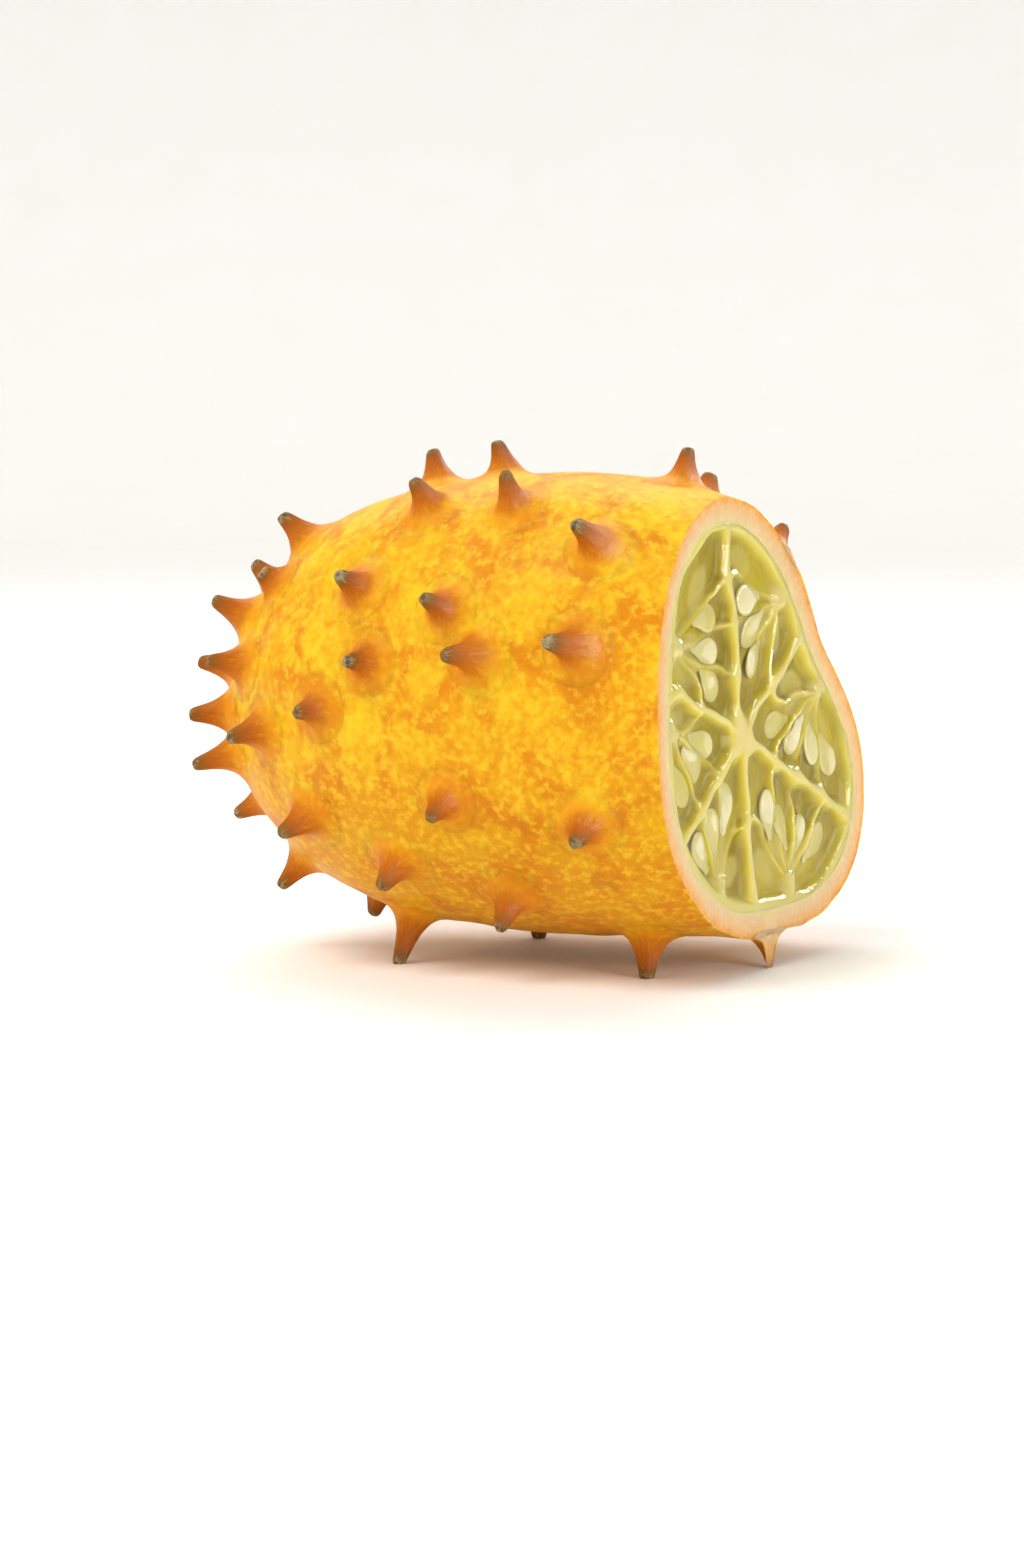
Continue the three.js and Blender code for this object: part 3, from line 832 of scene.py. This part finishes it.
def build_rind(horns):
    """The rind: one grid from the round end over the skin, the cut and the inner side back to the round end,
    and a closed grid for each horn."""
    grids = Grids("near_horn", "horn", "line_x", "line_y", "depth")
    skin, near = skin_rows(horns)
    cut, depth = cut_rows(skin[-1], horns)
    inner = inner_rows(cut[-1])
    points = np.concatenate([skin, cut[1:], inner])
    cut_near, inner_near = np.zeros(cut[1:].shape[:2]), np.zeros(inner.shape[:2])
    skin_depth = np.zeros(skin.shape[:2])
    skin_depth[-1] = depth[0]
    grids.add(
        points,
        slot=np.where(np.arange(len(points)) < len(skin), 0, 1)[:, None],
        near_horn=np.concatenate([near, cut_near, inner_near]),
        depth=np.concatenate([skin_depth, depth[1:], inner_near + WALL]),
    )
    for number, horn in enumerate(horns):
        add_horn(grids, horn, number)
    rind = grids.build("melon_rind", skin_material(), flesh_material())
    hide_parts("rind")
    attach(rind, "root")


def inside_flesh(y, z):
    """How far a point of the face is from the flesh."""
    return section_radius(np.arctan2(z, y)) - WALL - GAP - np.hypot(y, z)


def from_hub(angle, share):
    """A point on the way from the hub to the flesh, which is found by halving."""
    low, high = 0.0, 2 * SECTION_RADIUS
    way = np.array([math.cos(angle), math.sin(angle)])
    for _ in range(HALVINGS):
        reach = (low + high) / 2
        if inside_flesh(*(HUB + reach * way)) > 0:
            low = reach
        else:
            high = reach
    return HUB + share * low * way


def off_line(angle, share, side):
    """A point beside the line from the hub to the flesh."""
    return from_hub(angle, share) + side * np.array([-math.sin(angle), math.cos(angle)])


def septum_angle(lobe, root):
    """The line between a lobe and its neighbour on one root's side."""
    others = [other for each in LOBES if each is not lobe for other in each["roots"]]
    turns = [(other - root + 180) % 360 - 180 for other in others]
    return math.radians(root + min(turns, key=abs) / 2)


def sac_lines():
    """Each sac is a line from its fan's root to its round end. The ends stand beside their lobe's middle."""
    sacs = []
    for lobe in LOBES:
        middle = math.radians(lobe["middle"])
        for degrees in lobe["roots"]:
            root = from_hub(math.radians(degrees), ROOT_REACH)
            side = math.copysign(1, math.sin(math.radians(degrees) - middle))
            for i, share in enumerate(lobe["ends"]):
                end = off_line(middle, share, side * SAC_SIDE * share**SIDE_GROWTH)
                sacs.append({"root": root, "fan": degrees, "end": end, "seeded": i in lobe["seeded"]})
            end = off_line(septum_angle(lobe, degrees), SEPTUM_REACH, -side * SEPTUM_SIDE)
            sacs.append({"root": root, "fan": degrees, "end": end, "seeded": False})
    return sacs


def from_sac(sac, y, z):
    """How far a point is from a sac, which grows wider from its root to its end."""
    line = sac["end"] - sac["root"]
    reach_y, reach_z = y - sac["root"][0], z - sac["root"][1]
    along = np.clip((reach_y * line[0] + reach_z * line[1]) / (line @ line), 0, 1)
    away = np.hypot(reach_y - along * line[0], reach_z - along * line[1])
    return away - (SAC_ROOT_RADIUS + (SAC_END_RADIUS - SAC_ROOT_RADIUS) * along)


def face_grid(rings, sectors, overlap):
    """Points of the face on rings round its middle, which reach that far into the flesh. Each point belongs
    to the nearest sac, once the points are shifted by noise, and half the way to the next sac is its edge."""
    share = np.linspace(INNERMOST, 1, rings)[:, None]
    angle = around(sectors)[None, :]
    reach = share * (section_radius(angle) - WALL - GAP + overlap)
    y, z = reach * np.cos(angle), reach * np.sin(angle)
    plane = np.stack([np.zeros_like(y), y, z], -1)
    bent_y = y + uneven(plane, BEND_SIDE)
    bent_z = z + uneven(plane, BEND_UP)

    sacs = sac_lines()
    distances = np.stack([from_sac(sac, bent_y, bent_z) for sac in sacs])
    nearest = distances.argmin(axis=0)
    here = distances.min(axis=0)
    fans = np.array([sac["fan"] for sac in sacs])
    same_fan = fans[:, None, None] == fans[nearest][None]
    own = np.arange(len(sacs))[:, None, None] == nearest[None]
    to_fan = (np.where(same_fan, np.inf, distances).min(axis=0) - here) / 2
    to_sac = (np.where(same_fan & ~own, distances, np.inf).min(axis=0) - here) / 2
    to_flesh = inside_flesh(y, z) + uneven(plane, FLESH_WAVES)

    roots = np.array([sac["root"] for sac in sacs])[nearest]
    root_y, root_z = bent_y - roots[..., 0], bent_z - roots[..., 1]
    lines = np.array([sac["end"] - sac["root"] for sac in sacs])[nearest]
    along = (root_y * lines[..., 0] + root_z * lines[..., 1]) / (lines**2).sum(axis=-1)
    at_hub = fade(np.hypot(y - HUB[0], z - HUB[1]), *HUB_AREA)
    root_reach = np.hypot(root_y, root_z)
    at_root = fade(root_reach, *ROOT_AREA)
    to_fan = to_fan / (1 + HUB_THICKENS * at_hub + ROOT_THICKENS * at_root)
    height = np.clip(WALL_HEIGHT + uneven(plane, WALL_HEIGHTS), LOWEST_WALL, 1)
    return dict(
        y=y,
        z=z,
        plane=plane,
        nearest=nearest,
        sacs=len(sacs),
        edge=np.minimum(to_fan - FAN_WALL, FLESH_FALL * to_flesh - FLESH_WALL),
        height=np.maximum(height, at_root),
        to_fan=to_fan,
        to_sac=to_sac,
        to_flesh=to_flesh,
        root_reach=root_reach,
        root_turn=np.arctan2(root_z, root_y),
        along=along,
    )


def floor_level(grid):
    """How far the bottom of a sac, or the edge of a wall, lies behind the face. The sides are steep. The
    walls inside a fan rise to only a share of the depth, so that some lie deep in the gel."""
    ridge = grid["height"] * fade(grid["to_sac"], *SAC_WALL)
    return -SAC_DEPTH * smoothstep(grid["edge"], *SAC_SIDES) * (1 - ridge)


def film_level(grid):
    """The gel's surface: it clings to the high walls' edges, and sinks steeply from them to each sac's own
    level, as a liquid does at the side of a glass. Over low walls it runs on, and hardly rises."""
    rng = np.random.default_rng(FILM_DRAW)
    own = rng.uniform(*FILM_SINKS, grid["sacs"])[grid["nearest"]]
    near = np.exp(-grid["to_sac"] / CLING)
    high = smoothstep(grid["height"], *HIGH_WALL)
    sink = own + (LOW_WALL_SINK - own) * near * (1 - high)
    drop = sink * (1 - np.exp(-grid["edge"].clip(0) / CLING)) * (1 - high * near)
    ripple = uneven(grid["plane"], RIPPLES) * smoothstep(grid["edge"], *RIPPLED)
    return np.maximum(FILM - drop + ripple, floor_level(grid) + LEAST_FILM)


def deep_seeds(grid):
    """Where seeds deep in the gel show through as paler ovals with soft edges, in sacs that have no seed near
    the face or have room for another."""
    rng = np.random.default_rng(DEEP_DRAW)
    glow = np.zeros_like(grid["y"])
    for sac in sac_lines():
        line = sac["end"] - sac["root"]
        reach = length_of(line)
        share = rng.uniform(*(DEEP_BESIDE if sac["seeded"] else DEEP_ALONE))
        clear = rng.uniform(*DEEP_CLEAR)
        if sac["seeded"] and reach < DEEP_ROOM:
            continue
        spot = sac["root"] + share * line
        turn = math.atan2(line[1], line[0]) + rng.uniform(-DEEP_TURN, DEEP_TURN)
        way_y, way_z = math.cos(turn), math.sin(turn)
        off_y, off_z = grid["y"] - spot[0], grid["z"] - spot[1]
        along = (off_y * way_y + off_z * way_z) / (SEED_LENGTH / 2)
        across = (off_z * way_y - off_y * way_z) / (SEED_WIDTH / 2)
        glow = np.maximum(glow, clear * fade(np.hypot(along, across), *DEEP_EDGE))
    return glow


def face_colours(grid):
    """How much of a wall each point is, how pale it is as a wall's core, a root or the flesh's side, and how
    dark as the round end of a sac."""
    to_fan, to_sac, to_flesh, height = (grid[name] for name in ("to_fan", "to_sac", "to_flesh", "height"))
    in_fan = SAC_TINT * height * fade(to_sac, *SAC_WALL)
    wall = np.maximum.reduce([fade(to_fan, *FAN_TINT), in_fan, fade(to_flesh, *FLESH_TINT)])
    core = np.maximum(fade(to_fan, *FAN_CORE), height**2 * fade(to_sac, *SAC_CORE))
    at_root = fade(grid["root_reach"], *PALE_ROOT)
    by_flesh = fade(to_flesh, *PALE_FLESH)
    pale = np.maximum.reduce([CORE_PALE * core, ROOT_PALE * at_root, FLESH_PALE * by_flesh])
    dark = smoothstep(grid["along"], *DARK_ENDS) * (1 - wall)
    return wall, pale, dark


def build_pulp():
    """The pulp's face with the walls between its sacs, and the blind body behind it, whose rows stand closer
    together at the round end, as the sine of a quarter turn."""
    grid = face_grid(*PULP_GRID, overlap=GAP + UNDER_FLESH)
    wall, pale, dark = face_colours(grid)
    shade = np.random.default_rng(SHADE_DRAW).uniform(*SAC_SHADES, grid["sacs"])[grid["nearest"]]
    run = np.sin(np.linspace(0, 1, BACK_ROWS) * math.pi / 2)[1:]
    x, turn = np.meshgrid(FACE + (TIP - FACE) * run, around(PULP_GRID[1]), indexing="ij")
    x[-1] = TIP + NEAR_TIP
    back = skin_point(x, turn) - (WALL + GAP) * skin_normal(x, turn)
    front = np.stack([FACE + floor_level(grid), grid["y"], grid["z"]], -1)
    behind = np.zeros(back.shape[:2])
    values = {
        "edge": grid["edge"],
        "wall": wall,
        "pale": pale,
        "shade": shade,
        "glow": deep_seeds(grid),
        "dark": dark,
        "fan_turn": FIBRES_ROUND * grid["root_turn"],
        "fan_reach": FIBRES_ALONG * grid["root_reach"],
    }
    values = {name: np.concatenate([value, behind]) for name, value in values.items()}
    values["wall"][len(wall) :] = BACK_WALL
    grids = Grids(*values)
    grids.add(np.concatenate([front, back]), flip=True, **values)
    pulp = grids.build("melon_pulp", pulp_material())
    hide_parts("pulp")
    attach(pulp, "root")


def build_gel():
    """The gel, whose shining surface also wets the walls' edges. It is tucked in along the flesh, and closed
    behind the bottoms of the sacs, inside the pulp."""
    grid = face_grid(*GEL_GRID, overlap=GAP)
    level = film_level(grid)
    level[-2:] -= FILM_TUCK
    front = np.stack([FACE + level, grid["y"], grid["z"]], -1)
    back = front[-1] * np.array(GEL_BACK)[:, None, None]
    back[..., 0] = FACE - SAC_DEPTH - UNDER_SACS
    deep = level - floor_level(grid)
    grids = Grids("gel_depth")
    grids.add(np.concatenate([front, back]), flip=True, gel_depth=np.concatenate([deep, 0 * back[..., 0]]))
    gel = grids.build("melon_gel", gel_material())
    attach(gel, "root")


def add_seed(grids, sac, number):
    """A flat drop with a narrow blunt beak to the root of its fan: ovals whose width grows smoothly from the
    beak, and closes as an ellipse round the other end, tilted a little in its sac."""
    rng = np.random.default_rng(SEED_DRAW + number)
    line = sac["end"] - sac["root"]
    spot = sac["root"] + line * (SEED_PLACE + rng.uniform(*SEED_SLIDE))
    sunk = rng.uniform(0, SEED_SINKS)
    middle = np.array([FACE - SEED_LEVEL - sunk, *spot])
    turn = math.atan2(line[1], line[0]) + rng.uniform(-SEED_TURN, SEED_TURN)
    tilt = rng.uniform(-SEED_TILT, SEED_TILT, 2)
    along = np.array([tilt[0], math.cos(turn), math.sin(turn)])
    along /= length_of(along)
    across = np.cross(along, [1, 0, 0]) + np.array([tilt[1], 0, 0])
    across /= length_of(across)
    out = np.cross(across, along)
    size = rng.uniform(*SEED_SIZES)

    share = (1 - np.cos(np.linspace(0, math.pi, SEED_RINGS))) / 2
    beak = BEAK_WIDTH * np.sqrt(np.clip(share / BEAK_END, 0, 1))
    beak = beak + (1 - BEAK_WIDTH) * smoothstep(share, BEAK_END, WIDEST)
    far_end = np.sqrt(1 - ((share - WIDEST) / (1 - WIDEST)).clip(0, 1) ** 2)
    width = np.where(share < WIDEST, beak, far_end)
    turned = around(SEED_SIDES)
    flat, thick = np.cos(turned), np.sin(turned)
    thick = np.sign(thick) * np.abs(thick) ** BOXY
    length = SEED_LENGTH * size * (share - 0.5)
    half_width = SEED_WIDTH * size * width / 2
    half_thick = SEED_THICKNESS * size * np.minimum(width * BLUNTER, 1) / 2
    points = middle + length[:, None, None] * along
    points = points + (half_width[:, None] * flat)[..., None] * across
    points = points + (half_thick[:, None] * thick)[..., None] * out
    points[..., 0] -= max(points[..., 0].max() - SEED_FRONT, 0)
    ends = smoothstep(np.abs(share - 0.5), *RIM_ENDS)[:, None]
    grids.add(points, flip=True, rim=np.maximum(np.abs(flat)[None, :], ends), sunk=sunk)


def build_seeds():
    """One piece of all the seeds near the face, one closed grid for each."""
    grids = Grids("rim", "sunk")
    for number, sac in enumerate(sac_lines()):
        if sac["seeded"]:
            add_seed(grids, sac, number)
    seeds = grids.build("melon_seeds", seed_material())
    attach(seeds, "root")


def build_floor():
    """A white floor that bends up far behind the melon: a straight run, a quarter of a circle and a straight
    rise, carried sideways."""
    size, bend, rows = 3.0, 0.6, 14
    turn = np.linspace(0, math.pi / 2, rows)
    run = np.concatenate([[-size], size / 2 + bend * np.sin(turn), [size / 2 + bend]])
    rise = np.concatenate([[0.0], bend * (1 - np.cos(turn)), [size]])
    left = np.stack([np.full_like(run, -size), run, rise], -1)
    right = left * [-1, 1, 1]
    points = np.stack([left, right], 1).reshape(-1, 3)
    faces = [(2 * i, 2 * i + 1, 2 * i + 3, 2 * i + 2) for i in range(len(run) - 1)]
    mesh = bpy.data.meshes.new("studio_floor")
    mesh.from_pydata(points.tolist(), [], faces)
    mesh.shade_smooth()
    floor = bpy.data.objects.new("studio_floor", mesh)
    floor.rotation_euler = (0, 0, AZIMUTH)
    bpy.context.scene.collection.objects.link(floor)
    material, add = new_material("white_paper")
    position = add("TexCoord", take="Object")
    mottle = add("TexNoise", {"Vector": position, "Scale": per_metre(40)})
    colour = add("Mix", [mottle, "#F8F7F5", "#FBFBFA"], **COLOUR)
    shader = add("BsdfPrincipled", {"Base Color": colour, "Roughness": 0.7, "Specular IOR Level": 0.2})
    add("OutputMaterial", {"Surface": shader})
    mesh.materials.append(material)


def place_lamp(name, kind, place, power, colour, **settings):
    """A lamp that faces the melon and isn't seen itself."""
    light = bpy.data.lights.new(name, kind)
    light.energy = power
    light.color = linear(colour)[:3]
    for setting, value in settings.items():
        setattr(light, setting, value)
    lamp = bpy.data.objects.new(name, light)
    lamp.location = place
    lamp.rotation_euler = (Vector(place) - Vector(LOOK_AT)).to_track_quat("Z", "Y").to_euler()
    lamp.visible_camera = False
    bpy.context.scene.collection.objects.link(lamp)
    return lamp


def place_panel(name, place, power, width, height):
    """A white panel of that width and height."""
    size = {"shape": "RECTANGLE", "size": width, "size_y": height}
    return place_lamp(name, "AREA", place, power, "#FFFFFF", **size)


def build_lights():
    """Soft daylight from above the camera, panels round the melon, and an even pale surround."""
    place_lamp(*DAYLIGHT, angle=DAYLIGHT_SPREAD)
    for panel in PANELS:
        place_panel(*panel)
    for glint in GLINTS:
        place_panel(*glint).visible_diffuse = False
    world = bpy.data.worlds.new("studio")
    bpy.context.scene.world = world
    world.use_nodes = True
    background = world.node_tree.nodes["Background"]
    background.inputs["Color"].default_value = linear(SURROUND)
    background.inputs["Strength"].default_value = SURROUND_STRENGTH


def build_camera():
    """The camera at its place, looking along the line that its azimuth and elevation give."""
    camera = bpy.data.cameras.new("camera")
    camera.sensor_width = SENSOR
    camera.lens = FOCUS_PX / FRAME_HEIGHT_PX * SENSOR
    camera.clip_start, camera.clip_end = 0.05, 20
    holder = bpy.data.objects.new("camera", camera)
    holder.location = CAMERA_PLACE
    flat = math.cos(ELEVATION)
    back = Vector((math.sin(AZIMUTH) * flat, -math.cos(AZIMUTH) * flat, math.sin(ELEVATION)))
    holder.rotation_euler = back.to_track_quat("Z", "Y").to_euler()
    bpy.context.scene.collection.objects.link(holder)
    bpy.context.scene.camera = holder
    bpy.context.scene.view_settings.view_transform = "Standard"


build_rind(horn_places())
build_pulp()
build_seeds()
build_gel()
build_floor()
build_lights()
build_camera()
